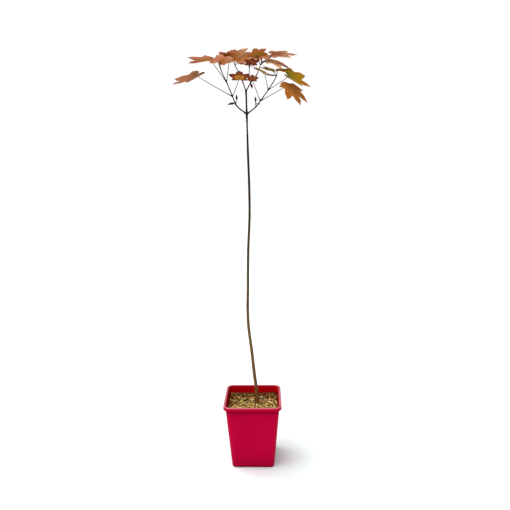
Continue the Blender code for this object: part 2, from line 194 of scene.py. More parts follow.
# Masses of leaves: the limb that carries each, the internodes of its stem, and its leaves.
# A leaf is (node of the stem, petiole (length, bearing, rise), blade (length, heading,
# tilt, roll, droop, fold, spread of its lobes), blush), with lengths in millimetres and
# fold in degrees a side
MASSES = {
    "leaves_left": (
        "bough_left",
        ((54, 202, 66), (52, 199, 65), (12, 193, 74)),
        (
            (0, (146, 187, 29), (91, 201, -31, -17, -0.15, -2, 1.0), "copper"),
            (0, (76, 301, 44), (46, 272, 21, -1, 0.06, 2, 1.12), "ember"),
            (1, (89, 195, 53), (89, 158, -2, -6, -0.02, 8, 0.95), "rosy"),
            (1, (80, 320, 78), (58, 285, 15, -3, 0.09, 4, 1.0), "coral"),
            (2, (22, 284, 55), (58, 327, 10, -7, 0.09, 7, 1.08), "sunset"),
            (2, (97, 96, 30), (66, 128, 2, 2, 0.08, -3, 1.0), "sunset"),
        ),
    ),
    "leaves_top_left": (
        "arm_left",
        ((13, 163, 72),),
        (
            (0, (31, 239, 53), (80, 320, 15, 4, 0.09, 1, 0.93), "petal"),
            (0, (92, 77, 30), (76, 92, -4, -4, 0.08, 0, 1.05), "coral"),
        ),
    ),
    "leaves_middle": (
        "arm_middle",
        ((10, 83, 76),),
        (
            (0, (15, 333, 60), (37, 281, 26, 1, 0.10, 4, 1.0), "wine"),
            (0, (26, 100, 44), (48, 180, 4, -10, 0.08, 2, 0.98), "ember"),
        ),
    ),
    "leaves_top_right": (
        "arm_right",
        ((11, 348, 68), (8, 353, 74)),
        (
            (0, (35, 202, 64), (46, 322, 22, -5, 0.06, 6, 1.15), "tawny"),
            (0, (65, 22, 39), (84, 352, -2, 2, 0.06, 0, 0.9), "blossom"),
            (1, (28, 13, 13), (82, 6, -12, 4, 0.14, 4, 0.9), "petal"),
            (1, (89, 92, 29), (60, 102, -2, 1, 0.09, 2, 0.95), "sunset"),
            (1, (104, 61, 25), (63, 39, 6, 3, 0.10, 4, 0.97), "rosy"),
        ),
    ),
    "leaves_right": (
        "bough_right",
        ((48, 351, 52), (54, 351, 57), (4, 353, 66)),
        (
            (0, (117, 358, 28), (95, 314, -54, -1, 0.06, 0, 0.7), "bronze"),
            (0, (83, 240, 50), (28, 277, 27, -7, 0.03, 3, 1.05), "wine"),
            (1, (87, 3, 32), (84, 8, -29, 34, -0.08, 8, 0.95), "honey"),
            (1, (70, 256, 47), (53, 182, 26, -18, 0.05, -1, 0.87), "umber"),
            (2, (27, 128, 47), (50, 174, 18, -1, 0.03, 7, 0.88), "umber"),
            (2, (26, 63, 64), (55, 352, -5, 20, 0.05, 2, 0.84), "honey"),
            (2, (9, 181, 12), (36, 179, 10, -19, 0.02, 2, 0.7), "umber"),
        ),
    ),
}

# Young shoots: the limb and its node, the stem (length, bearing, rise), and folded leaves
# as (share of the stem, stalk (length, bearing, rise), blade (length, heading, tilt))
SHOOTS = {
    "shoot_left": (
        "bough_left", 1, (13, 50, 76),
        ((0.9, (5, 60, 76), (20, 100, 78)), (0.9, (24, 251, -30), (24, 188, -5))),
    ),
    "shoot_right": (
        "bough_right", 1, (15, 153, 80),
        ((0.9, (4, 100, 76), (20, 100, 76)), (0.9, (18, 316, -24), (10, 20, 8))),
    ),
    "shoot_top": ("arm_right", 1, (7, 288, -30), ((0.9, (3, 303, -62), (17, 303, -62)),)),
}

# Half of a blade's edge: its tips and teeth, and the hollows after each, as (degrees from
# the midrib, share of the blade's length)
BLADE_TIPS = (
    (0, 1.00), (14, 0.82), (37, 0.76), (50, 0.95), (64, 0.76),
    (92, 0.56), (104, 0.68), (122, 0.48), (150, 0.30),
)
BLADE_HOLLOWS = (
    (8, 0.84), (25, 0.59), (42, 0.82), (58, 0.80), (79, 0.52),
    (97, 0.60), (114, 0.52), (138, 0.35), (180, 0.06),
)
TIP_SHARPNESS = 1.15
EDGE_STEPS = 3
YOUNG_EDGE = ((0, 1.00), (8, 0.86), (18, 0.66), (30, 0.50), (46, 0.38), (90, 0.16), (180, 0.06))
BLADE_RINGS = (0.10, 0.22, 0.35, 0.48, 0.61, 0.74, 0.87, 1.0)
BLADE_THICKNESS = 0.45 * MM
LOBE_VARIATION = 0.05
# Main and side veins: degrees from the midrib, and shares of the blade's length
VEIN_ANGLES = (0, 50, -50, 104, -104)
VEIN_REACH = (0.92, 0.86, 0.86, 0.60, 0.60)
VEIN_START = 0.015
SIDE_VEINS = (0.22, 0.36, 0.50, 0.64)
SIDE_VEIN_TURN = 42
SIDE_VEIN_LENGTH = 0.20
SIDE_VEIN_FADE = 1.15
SIDE_VEIN_STEPS = 4
# Diameters at foot and tip, in millimetres
VEIN_DIAMETER = (1.1, 0.4)
SIDE_VEIN_DIAMETER = (0.52, 0.28)
VEIN_STEPS = 12
VEIN_SIDES = 5
# Creases along the veins, puckers between them and waves, as shares of the blade's length
QUILT_HEIGHT = 0.016
QUILT_WIDTH = 0.055
QUILT_START = 0.15
PUCKER_HEIGHT = 0.003
PUCKER_SPACING = 0.13
WAVE_HEIGHT = 0.04
WAVE_PACE = 2.3
# How far apart in the noise two blades may lie, so that no two are alike
NOISE_SPAN = 50
# Petioles, buds and limbs: diameters and lengths in millimetres, the rest as shares and steps
PETIOLE_DIAMETER = (2.8, 2.0)
PETIOLE_SAG = 0.01
PETIOLE_REACH = 0.08
PETIOLE_STEPS = 8
PETIOLE_SIDES = 10
PETIOLE_HEEL = 0.6
HEEL_STEPS = 1.5
PETIOLE_END = 0.4
BUD_LENGTH = (3.0, 4.5)
BUD_RISE = 25
BUD_STEPS = 6
BUD_SIDES = 8
BUD_WIDTH = 0.30
BUD_START = 0.12
BUD_FULLNESS = 0.8
NODE_SWELL = 1.3
LIMB_COLLAR = 0.35
COLLAR_STEPS = 3
LIMB_STEPS = 14
LIMB_SIDES = 14
STEM_TAPER = 0.75
STEM_LIFT = 2.5 * MM
SHOOT_DIAMETERS = (3.0, 2.6)
# Roll, droop, fold and spread of an unopened leaf
YOUNG_BEND = (35, 0.05, 25, 1.0)
YOUNG_STALK = 0.9

# Plain tints of leaves, and the underside's share of white
TINTS = {
    "rose": (0.50, 0.165, 0.085),
    "pink": (0.58, 0.27, 0.14),
    # The palest pink: partly the leaves' own colour, partly painted light that lifts their shaded
    # tips
    "shell": (0.70, 0.32, 0.15),
    "orange": (0.42, 0.125, 0.018),
    "apricot": (0.48, 0.175, 0.035),
    "amber": (0.38, 0.135, 0.006),
    "gold": (0.37, 0.19, 0.004),
    "olive": (0.33, 0.25, 0.010),
    "clay": (0.28, 0.095, 0.035),
    "russet": (0.17, 0.025, 0.001),
    "maroon": (0.11, 0.012, 0.0005),
    "brown": (0.20, 0.08, 0.015),
    "plum": (0.035, 0.006, 0.012),
}
UNDERSIDE_PALER = 0.01
# A leaf's tints from its base outwards
BLUSHES = {
    "sunset": ("orange", "rose", "pink"),
    "copper": ("brown", "clay", "clay"),
    "rosy": ("amber", "rose", "rose"),
    "coral": ("orange", "orange", "rose"),
    "blossom": ("rose", "pink", "pink"),
    "petal": ("pink", "shell", "shell"),
    "tawny": ("amber", "orange", "orange"),
    "honey": ("olive", "gold", "amber"),
    "bronze": ("apricot", "apricot", "orange"),
    "ember": ("amber", "russet", "maroon"),
    "wine": ("russet", "russet", "maroon"),
    "umber": ("olive", "brown", "russet"),
    "bud": ("plum", "plum", "maroon"),
}
BLUSH_BOUNDS = (0.38, 0.74)
BLUSH_SPREAD = 0.30
BLUSH_PACE = 2.5
BLUSH_GRAIN = 0.06
GRAIN_PACE = 14
VEIN_TINTS = (("rose", (0.42, 0.13, 0.06)), ("gold", (0.42, 0.24, 0.03)))
PALE_VEINED = ("honey", "umber", "tawny", "ember", "bronze")

# Chips as (tint, share of the chips at the front, share at the back)
CHIP_TINTS = {
    "tan": ((0.50, 0.26, 0.065), 22, 12),
    "straw": ((0.92, 0.55, 0.13), 66, 0),
    "cream": ((0.97, 0.73, 0.34), 54, 0),
    "cinnamon": ((0.30, 0.085, 0.020), 5, 24),
    "coffee": ((0.065, 0.022, 0.005), 4, 54),
    "black": ((0.010, 0.008, 0.004), 2, 44),
    "moss": ((0.17, 0.18, 0.03), 1, 7),
}

BED_TINT = (0.09, 0.036, 0.009)
BARK_BY_HEIGHT = (
    (0.215, (0.18, 0.080, 0.016)),
    (0.42, (0.16, 0.082, 0.026)),
    (0.75, (0.095, 0.052, 0.026)),
    (1.02, (0.035, 0.018, 0.011)),
    (1.20, (0.010, 0.005, 0.005)),
    (1.38, (0.008, 0.004, 0.004)),
)
BARK_STREAKS = 420
BARK_DETAIL = 5.0
BARK_STRETCH = (1, 1, 0.16)
BARK_TONES = ((0.32, (0.55, 0.52, 0.50)), (0.70, (1.35, 1.30, 1.22)))
BARK_RELIEF = 0.25 * MM
BARK_ROUGHNESS = 0.62
BARK_GLOSS = 0.08
LENTICEL_TINT = (0.50, 0.42, 0.32)
TWIG_TINT = (0.012, 0.006, 0.007)
TWIG_STRETCH = (1, 1, 0.4)
PETIOLE_TINT = (0.030, 0.016, 0.018)
POT_TINT = (0.452, 0.0001, 0.034)
# A pinker tint on the rim's upward crown: a painted highlight, beside the real higher gloss given
# with it in the plastics
RIM_HIGHLIGHT_TINT = (0.52, 0.075, 0.12)
# A purer red copy of the same plastic for the inward faces: painted shade of the pot's inside
INNER_SHADE_TINT = (0.45, 0.0002, 0.004)
# The body's painted shade as (height in metres, share), darkest under the lip, where it paints the
# lip's shadow, and at the foot
POT_PAINTED_SHADE = (
    (0.0, 0.25), (0.004, 0.42), (0.007, 0.80), (0.030, 0.90), (0.075, 1.00), (0.205, 0.98),
    (0.219, 0.86), (0.226, 0.66), (0.230, 0.52), (0.2345, 0.50), (0.235, 0.95),
)
# The plastics: tint, roughness, gloss, and painted shade by height
PLASTICS = {
    "crimson_plastic": (POT_TINT, 0.4, 0.015, POT_PAINTED_SHADE),
    "rim_painted_highlight": (RIM_HIGHLIGHT_TINT, 0.28, 0.5, None),
    "inner_plastic": (INNER_SHADE_TINT, 0.5, 0.02, None),
}
# Crown faces that face up past this level take the rim's painted highlight tint
RIM_HIGHLIGHT_LEVEL = 0.45
SHARP_ANGLE = 40
# Flow marks and grain of moulded plastic: the noise's pace, its stretch and its two tones
FLOW_PACE = 9
FLOW_STRETCH = (1, 1, 0.35)
FLOW_TONES = ((0.35, 0.94), (0.65, 1.05))
PLASTIC_DETAIL = 2.0
PLASTIC_GRAIN = 900
PLASTIC_RELIEF = 0.02 * MM
# Mottled finishes: roughness, the mottle's pace, its contrast, its relief and the gloss
FINISHES = {
    "bed": (0.95, 240, 0.5, 1.2 * MM, 0.06),
    "chip": (0.85, 600, 0.30, 0.3 * MM, 0.06),
    "lenticel": (0.8, 900, 0.2, 0.1 * MM, 0.06),
    "twig": (0.5, 500, 0.35, 0.12 * MM, 0.06),
    "petiole": (0.45, 400, 0.25, 0.08 * MM, 0.06),
    "vein": (0.45, 500, 0.08, 0.05 * MM, 0.06),
    "upper": (0.5, 260, 0.08, 0.01 * MM, 0.03),
    "under": (0.7, 300, 0.08, 0.01 * MM, 0.02),
    "floor": (0.9, 3, 0.004, 0.0, 0.06),
}
MOTTLE_BOUNDS = (0.30, 0.70)
MOTTLE_DETAIL = 4.0
FLOOR_TINT = (0.89, 0.965, 0.965)
FLOOR_REACH = 30.0
SURROUND_STRENGTH = 0.86
# How much brighter the surround is from the left and the front, and how much darker towards
# both sides
SURROUND_LEAN = Vector((-0.18, -0.2, 0))
SURROUND_SIDES = Vector((-0.6, 0, 0))
BACKGROUND_STRENGTH = 1.05
# Where the wide soft light comes from, how wide it is in degrees, and its strength
KEY_PLACE = (-0.42, 0.03, 0.90)
KEY_WIDTH = 60
KEY_STRENGTH = 2.3


def new_object(name, data):
    """An object in the scene."""
    obj = bpy.data.objects.new(name, data)
    bpy.context.scene.collection.objects.link(obj)
    return obj


class Shape:
    """Points and faces gathered into one mesh."""

    def __init__(self):
        self.points = []
        self.faces = []
        self.slots = []

    def add(self, points, faces, slot=0):
        """Adds points and faces, with one material slot for all or one for each face."""
        first = len(self.points)
        self.points.extend(points)
        self.faces.extend(tuple(first + k for k in face) for face in faces)
        if isinstance(slot, int):
            slot = [slot] * len(faces)
        self.slots.extend(slot)

    def loft(self, rings):
        """Adds the closed block between rings of equal count."""
        points = [point for ring in rings for point in ring]
        self.add(points, loft_faces(len(rings[0]), len(rings)))

    def make(self, name, mats, smooth=True):
        """The mesh object, with only those of the materials that its faces use."""
        mesh = bpy.data.meshes.new(name)
        mesh.from_pydata(self.points, [], self.faces)
        used = sorted(set(self.slots))
        for slot in used:
            mesh.materials.append(mats[slot])
        mesh.polygons.foreach_set("material_index", [used.index(slot) for slot in self.slots])
        mesh.polygons.foreach_set("use_smooth", [smooth] * len(self.faces))
        mesh.update()
        return new_object(name, mesh)


def direction(bearing, rise):
    """The unit vector at a bearing and a rise."""
    turn, climb = radians(bearing), radians(rise)
    level = cos(climb)
    return Vector((cos(turn) * level, sin(turn) * level, sin(climb)))


def ray(turn):
    """The level unit vector at a turn in radians."""
    return Vector((cos(turn), sin(turn), 0))


def walk(start, internodes):
    """The nodes along a limb, from its start, one internode after another."""
    nodes = [start.copy()]
    for length, bearing, rise in internodes:
        nodes.append(nodes[-1] + direction(bearing, rise) * length * MM)
    return nodes


def smooth(points, steps):
    """A curve through rows of numbers, with these many steps to each stretch."""
    rows = [Vector(p) for p in points]
    spans = [(b - a).length for a, b in zip(rows, rows[1:])]
    slopes = [(b - a) / span for a, b, span in zip(rows, rows[1:], spans)]
    turns = [slopes[0]]
    for i in range(1, len(spans)):
        share = spans[i - 1] / (spans[i - 1] + spans[i])
        turns.append(slopes[i - 1].lerp(slopes[i], share))
    turns.append(slopes[-1])
    curve = []
    for i, span in enumerate(spans):
        count = steps if isinstance(steps, int) else steps[i]
        for k in range(count):
            t = k / count
            curve.append(
                rows[i] * (2 * t**3 - 3 * t**2 + 1)
                + turns[i] * (span * (t**3 - 2 * t**2 + t))
                + rows[i + 1] * (3 * t**2 - 2 * t**3)
                + turns[i + 1] * (span * (t**3 - t**2))
            )
    return curve + [rows[-1]]


def sweep(shape, points, radii, sides, slot=0, relief=None):
    """A round limb along the points, closed at both ends, with an optional relief."""
    tangents = []
    for i in range(len(points)):
        before, after = points[max(i - 1, 0)], points[min(i + 1, len(points) - 1)]
        tangents.append((after - before).normalized())
    across = tangents[0].orthogonal().normalized()
    rings = []
    for point, radius, tangent in zip(points, radii, tangents):
        across = (across - tangent * across.dot(tangent)).normalized()
        beside = tangent.cross(across)
        for k in range(sides):
            turn = tau * k / sides
            out = across * cos(turn) + beside * sin(turn)
            reach = radius + (relief(point, out) if relief else 0.0)
            rings.append(point + out * reach)
    faces = []
    for i in range(len(points) - 1):
        low, high = i * sides, (i + 1) * sides
        for k in range(sides):
            after = (k + 1) % sides
            faces.append((low + k, low + after, high + after, high + k))
    foot, tip = len(rings), len(rings) + 1
    top = (len(points) - 1) * sides
    for k in range(sides):
        after = (k + 1) % sides
        faces.append((foot, after, k))
        faces.append((tip, top + k, top + after))
    shape.add([*rings, points[0], points[-1]], faces, slot)


def taper(diameters, count):
    """Radii in metres that change evenly between two diameters in millimetres."""
    foot, tip = (d / 2 * MM for d in diameters)
    return [foot + (tip - foot) * (k / (count - 1)) for k in range(count)]


# Materials


def new_material(name, roughness, gloss):
    """A material, its node tree and its shader."""
    mat = bpy.data.materials.new(name)
    mat.use_nodes = True
    shader = mat.node_tree.nodes["Principled BSDF"]
    shader.inputs["Roughness"].default_value = roughness
    shader.inputs["Specular IOR Level"].default_value = gloss
    return mat, mat.node_tree, shader


def add_node(tree, kind, inputs, **settings):
    """A node with its settings, and with each input linked to an output or set to a value."""
    node = tree.nodes.new("ShaderNode" + kind)
    for name, value in settings.items():
        setattr(node, name, value)
    for key, value in inputs.items():
        if isinstance(value, bpy.types.NodeSocket):
            tree.links.new(value, node.inputs[key])
        else:
            node.inputs[key].default_value = value
    return node


def object_noise(tree, scale, detail, stretch=(1, 1, 1)):
    """Noise in the part's own metres, stretched along its axes."""
    place = add_node(tree, "TexCoord", {}).outputs["Object"]
    place = add_node(tree, "Mapping", {"Vector": place, "Scale": stretch}).outputs["Vector"]
    pattern = add_node(tree, "TexNoise", {"Vector": place, "Scale": scale, "Detail": detail})
    return pattern.outputs["Fac"]


def colour_ramp(tree, factor, stops):
    """A colour for each value of a factor, from stops as (place, colour)."""
    ramp = add_node(tree, "ValToRGB", {"Fac": factor})
    while len(ramp.color_ramp.elements) < len(stops):
        ramp.color_ramp.elements.new(0.5)
    for element, (place, colour) in zip(ramp.color_ramp.elements, stops):
        element.position = place
        element.color = (*colour, 1)
    return ramp.outputs["Color"]


def shade(colour, share):
    """The colour, darker under 1 and lighter over it."""
    return tuple(min(c * share, 1.0) for c in colour)


def dress(tree, shader, tint, pattern, relief):
    """Gives the shader its tint, and raises its surface by a pattern, at most by the relief."""
    tree.links.new(tint, shader.inputs["Base Color"])
    bump = add_node(tree, "Bump", {"Distance": relief, "Height": pattern})
    tree.links.new(bump.outputs["Normal"], shader.inputs["Normal"])


def mottled(name, colour, finish, stretch=(1, 1, 1)):
    """A tint with a fine mottle in its colour and its surface."""
    roughness, pace, contrast, relief, gloss = FINISHES[finish]
    mat, tree, shader = new_material(name, roughness, gloss)
    pattern = object_noise(tree, pace, MOTTLE_DETAIL, stretch)
    tones = (shade(colour, 1 - contrast), shade(colour, 1 + contrast))
    tint = colour_ramp(tree, pattern, tuple(zip(MOTTLE_BOUNDS, tones)))
    dress(tree, shader, tint, pattern, relief)
    return mat


def by_height(tree, stops):
    """A colour ramp along the part's height, from stops as (height in metres, colour)."""
    place = add_node(tree, "TexCoord", {}).outputs["Object"]
    height = add_node(tree, "SeparateXYZ", {"Vector": place}).outputs["Z"]
    low, high = stops[0][0], stops[-1][0]
    span = add_node(tree, "MapRange", {"Value": height, "From Min": low, "From Max": high})
    shares = [((z - low) / (high - low), colour) for z, colour in stops]
    return colour_ramp(tree, span.outputs["Result"], shares)


def multiply(tree, first, second):
    """One colour times another."""
    inputs = {"Factor": 1.0, "A": first, "B": second}
    return add_node(tree, "Mix", inputs, data_type="RGBA", blend_type="MULTIPLY").outputs["Result"]


def bark_material():
    """Bark that darkens with height, streaked along the stem."""
    mat, tree, shader = new_material("young_bark", BARK_ROUGHNESS, BARK_GLOSS)
    streaks = object_noise(tree, BARK_STREAKS, BARK_DETAIL, BARK_STRETCH)
    tones = colour_ramp(tree, streaks, BARK_TONES)
    tint = multiply(tree, by_height(tree, BARK_BY_HEIGHT), tones)
    dress(tree, shader, tint, streaks, BARK_RELIEF)
    return mat


def plastic_material(name):
    """Moulded plastic with faint flow marks, and painted shade by height where given."""
    colour, roughness, gloss, shades = PLASTICS[name]
    mat, tree, shader = new_material(name, roughness, gloss)
    flow = object_noise(tree, FLOW_PACE, PLASTIC_DETAIL, FLOW_STRETCH)
    tint = colour_ramp(tree, flow, [(place, shade(colour, tone)) for place, tone in FLOW_TONES])
    if shades:
        tint = multiply(tree, tint, by_height(tree, [(z, (s, s, s)) for z, s in shades]))
    grain = object_noise(tree, PLASTIC_GRAIN, PLASTIC_DETAIL)
    dress(tree, shader, tint, grain, PLASTIC_RELIEF)
    return mat


def leaf_materials():
    """The tints for upper faces, then the same tints paler for undersides."""
    upper, under = [], []
    for name, colour in TINTS.items():
        upper.append(mottled("leaf_" + name, colour, "upper"))
        pale = tuple(c + (1 - c) * UNDERSIDE_PALER for c in colour)
        under.append(mottled("leaf_under_" + name, pale, "under"))
    return upper + under


# Pot


def square_ring(width, corner, height):
    """The points of a rounded square, from its +X side round through +Y."""
    ring = []
    straight = width / 2 - corner
    for quarter in range(4):
        centre = radians(45 + 90 * quarter)
        middle = ray(centre) * straight * sqrt(2)
        for step in range(CORNER_STEPS + 1):
            turn = radians(90 * (quarter + step / CORNER_STEPS))
            ring.append(middle + ray(turn) * corner + Vector((0, 0, height)))
    return ring


def body_width(height):
    """The outer width of the pot's tapering body at a height."""
    return BODY_FOOT_WIDTH + (BODY_TOP_WIDTH - BODY_FOOT_WIDTH) * height / POT_HEIGHT


def body_corner(height):
    """The radius of the body's corners at a height."""
    return FOOT_CORNER + (RIM_CORNER - FOOT_CORNER) * height / POT_HEIGHT


def inner_ring(height, clearance=0.0):
    """The pot's inner face at a height, or a ring inside it by a clearance."""
    inset = WALL + clearance
    return square_ring(body_width(height) - 2 * inset, body_corner(height) - inset, height)


def loft_faces(count, rings):
    """Quads between rings of equal count, with a face over each end."""
    faces = []
    for low in range(rings - 1):
        for k in range(count):
            after = (k + 1) % count
            a, b = low * count, (low + 1) * count
            faces.append((a + k, a + after, b + after, b + k))
    faces.append(tuple(reversed(range(count))))
    faces.append(tuple((rings - 1) * count + k for k in range(count)))
    return faces


def edge_rings(width, corner, edge, base):
    """A rounded lower edge, from its underside out and up to its upright face."""
    rings = []
    for step in range(ARC_STEPS + 1):
        turn = radians(90 * step / ARC_STEPS)
        inset, rise = edge * (1 - sin(turn)), edge * (1 - cos(turn))
        rings.append(square_ring(width(rise) - 2 * inset, corner - inset, base + rise))
    return rings


def lip_rings():
    """The rolled lip: under its skirt, up its outer face, over its crown and in."""
    foot = POT_HEIGHT - LIP_DROP
    under = foot + LIP_HOLLOW
    hollow, corner = RIM_WIDTH - 2 * LIP_WALL, LIP_CORNER - LIP_WALL
    rings = [
        square_ring(body_width(under), body_corner(under), under),
        square_ring(hollow, corner, under),
        square_ring(hollow, corner, foot + LIP_FOOT_EDGE),
        square_ring(hollow + 2 * LIP_FOOT_EDGE, corner + LIP_FOOT_EDGE, foot),
    ]
    rings += edge_rings(lambda rise: RIM_WIDTH, LIP_CORNER, LIP_FOOT_EDGE, foot)
    mouth = body_width(POT_HEIGHT) - 2 * WALL
    across = (RIM_WIDTH - mouth) / 2
    for step in range(2 * ARC_STEPS + 1):
        turn = radians(180 * step / (2 * ARC_STEPS))
        inset = across / 2 * (1 - cos(turn))
        rise = LIP_CROWN * sin(turn)
        corner = LIP_CORNER + (RIM_CORNER - WALL - LIP_CORNER) * inset / across
        rings.append(square_ring(RIM_WIDTH - 2 * inset, corner, POT_HEIGHT - LIP_CROWN + rise))
    return rings


def cut(obj, tools):
    """Takes each tool's shape out of the object, and drops the tools."""
    for tool in tools:
        change = obj.modifiers.new("cut", "BOOLEAN")
        change.operation = "DIFFERENCE"
        change.solver = "EXACT"
        change.object = tool
    bpy.context.view_layer.update()
    graph = bpy.context.evaluated_depsgraph_get()
    mesh = bpy.data.meshes.new_from_object(obj.evaluated_get(graph))
    obj.modifiers.clear()
    obj.data = mesh
    for tool in tools:
        bpy.data.objects.remove(tool, do_unlink=True)


def cutting_tool(name, form):
    """A shape to cut with, as an object in the scene."""
    mesh = bpy.data.meshes.new(name)
    form.to_mesh(mesh)
    form.free()
    return new_object(name, mesh)


def notch_tools():
    """The arches in the foot of each side."""
    tools = []
    for quarter in range(4):
        out = Vector((1, 0, 0)) if quarter % 2 == 0 else Vector((0, 1, 0))
        along = Vector((out.y, out.x, 0))
        half = along * NOTCH_LENGTH / 2 + out * NOTCH_DEPTH + Vector((0, 0, NOTCH_HEIGHT))
        side = 1 if quarter < 2 else -1
        centre = out * side * BODY_FOOT_WIDTH / 2
        box = bmesh.new()
        bmesh.ops.create_cube(box, size=2.0)
        bmesh.ops.scale(box, vec=half, verts=box.verts)
        bmesh.ops.translate(box, vec=centre, verts=box.verts)
        tools.append(cutting_tool("notch", box))
    return tools


def drain_tools():
    """The drain holes in the floor."""
    tools = []
    radius = DRAIN_DIAMETER / 2
    for x in (-DRAIN_OFFSET, DRAIN_OFFSET):
        for y in (-DRAIN_OFFSET, DRAIN_OFFSET):
            hole = bmesh.new()
            size = {"radius1": radius, "radius2": radius, "depth": 4 * FLOOR}
            bmesh.ops.create_cone(hole, cap_ends=True, segments=DRAIN_SEGMENTS, **size)
            bmesh.ops.translate(hole, vec=(x, y, 0), verts=hole.verts)
            tools.append(cutting_tool("drain", hole))
    return tools


def build_pot():
    """The pot in one shell, from its underside round its lip to its floor inside."""
    mouth_height = POT_HEIGHT - LIP_CROWN
    rings = edge_rings(body_width, FOOT_CORNER, FOOT_EDGE, 0.0) + lip_rings()
    rings += [inner_ring(mouth_height - LIP_CROWN), inner_ring(FLOOR)]
    shape = Shape()
    shape.loft(rings)
    body, rim, inner = (plastic_material(name) for name in PLASTICS)
    pot = shape.make("pot_shell", [body])
    cut(pot, notch_tools() + drain_tools())
    pot.data.materials.append(rim)
    pot.data.materials.append(inner)
    # The upward faces of the crown take the pinker tint, a painted highlight
    for face in pot.data.polygons:
        if face.center.z > mouth_height and face.normal.z > RIM_HIGHLIGHT_LEVEL:
            face.material_index = 1
        # Inward faces take the purer red copy of the plastic, painted shade of the inside
        elif face.center.z > FLOOR and face.normal.xy.dot(face.center.xy) < 0:
            face.material_index = 2
    pot.data.set_sharp_from_angle(angle=radians(SHARP_ANGLE))
    finish_piece(pot, "pot_plastic", "pot")


# Growing medium


def bed_height(x, y):
    """The lumpy top of the growing medium."""
    half = body_width(SOIL_TOP) / 2
    edge = max(abs(x), abs(y)) / half
    lump = sum(share * noise.noise(Vector((x, y, 0)) * pace) for pace, share in SOIL_LUMP_KINDS)
    corner = SOIL_CORNER_RISE * max(0.0, y / half) ** 3 * (x / half) ** 2
    return SOIL_TOP - SOIL_EDGE_DROP * edge**4 + SOIL_LUMPS * lump + corner


def build_bed():
    """A closed block of growing medium, with its top in shrinking rings."""
    edge = SOIL_TOP - SOIL_EDGE_DROP
    rings = [
        inner_ring(FLOOR + SOIL_CLEARANCE, SOIL_CLEARANCE),
        inner_ring(edge - 2 * SOIL_LUMPS, SOIL_CLEARANCE),
    ]
    rim = inner_ring(edge, SOIL_CLEARANCE)
    for k in range(BED_RINGS):
        share = 1 - k / BED_RINGS
        spots = [(point.x * share, point.y * share) for point in rim]
        rings.append([Vector((x, y, bed_height(x, y))) for x, y in spots])
    shape = Shape()
    shape.loft(rings)
    mat = mottled("potting_mix", BED_TINT, "bed")
    finish_piece(shape.make("potting_bed", [mat]), "bark_chips", "soil")


def chip_shape(length, rng):
    """A broken flake: a slab with uneven corners."""
    width = length * rng.uniform(*CHIP_WIDTH)
    thick = length * rng.uniform(*CHIP_THICKNESS)
    points = []
    for level in (-1, 1):
        for k in range(CHIP_CORNERS):
            turn = tau * (k + rng.uniform(-CORNER_TURN, CORNER_TURN)) / CHIP_CORNERS
            reach = rng.uniform(*CORNER_REACH) * (UPPER_CORNER_REACH if level > 0 else 1.0)
            x = cos(turn) * length / 2 * reach
            y = sin(turn) * width / 2 * reach
            points.append(Vector((x, y, level * thick / 2 * rng.uniform(*CORNER_LEVEL))))
    return points, loft_faces(CHIP_CORNERS, 2), thick


def build_chips(rng):
    """Chips laid over the bed by size, each joined with those of its tint."""
    shapes = {name: Shape() for name in CHIP_TINTS}
    names = list(CHIP_TINTS)
    foot = Vector(TRUNK_STATIONS[0][1:3]) * MM
    half = body_width(SOIL_TOP) / 2 - WALL - CHIP_CLEARANCE
    for (shortest, longest), count in CHIP_SIZES:
        for _ in range(count):
            length = rng.uniform(shortest, longest) * MM
            room = half - length / 2
            x, y = rng.uniform(-room, room), rng.uniform(-room, room)
            if (Vector((x, y)) - foot).length < FOOT_CLEARANCE + length / 3:
                continue
            points, faces, thick = chip_shape(length, rng)
            flat = rng.random() < FLAT_SHARE
            tilt = rng.gauss(0, FLAT_TILT) if flat else rng.uniform(-STEEPEST_TILT, STEEPEST_TILT)
            turn = Matrix.Rotation(rng.uniform(0, tau), 3, "Z")
            turn = turn @ Matrix.Rotation(radians(tilt), 3, "Y")
            turn = turn @ Matrix.Rotation(radians(rng.gauss(0, CHIP_ROLL)), 3, "X")
            lift = length / 4 * abs(sin(radians(tilt))) + thick * rng.uniform(*CHIP_LIFT)
            centre = Vector((x, y, bed_height(x, y) + lift))
            placed = [centre + turn @ point for point in points]
            if max(point.z for point in placed) > CHIP_TOP:
                continue
            back = 0.5 + y / (2 * half)
            weights = [front + (rear - front) * back for _, front, rear in CHIP_TINTS.values()]
            shapes[rng.choices(names, weights)[0]].add(placed, faces)
    for name, shape in shapes.items():
        mat = mottled("chip_" + name, CHIP_TINTS[name][0], "chip")
        finish_piece(shape.make("chips_" + name, [mat], smooth=False), "bark_chips", "soil")


# Trunk and limbs


def trunk_curve():
    """The smooth points and radii of the trunk."""
    rows = [(x, y, z, d) for z, x, y, d in TRUNK_STATIONS]
    steps = []
    for low, high in zip(TRUNK_STATIONS, TRUNK_STATIONS[1:]):
        steps.append(max(1, round((high[0] - low[0]) * MM / TRUNK_STEP)))
    curve = smooth(rows, steps)
    return [row.xyz * MM for row in curve], [row.w / 2 * MM for row in curve]


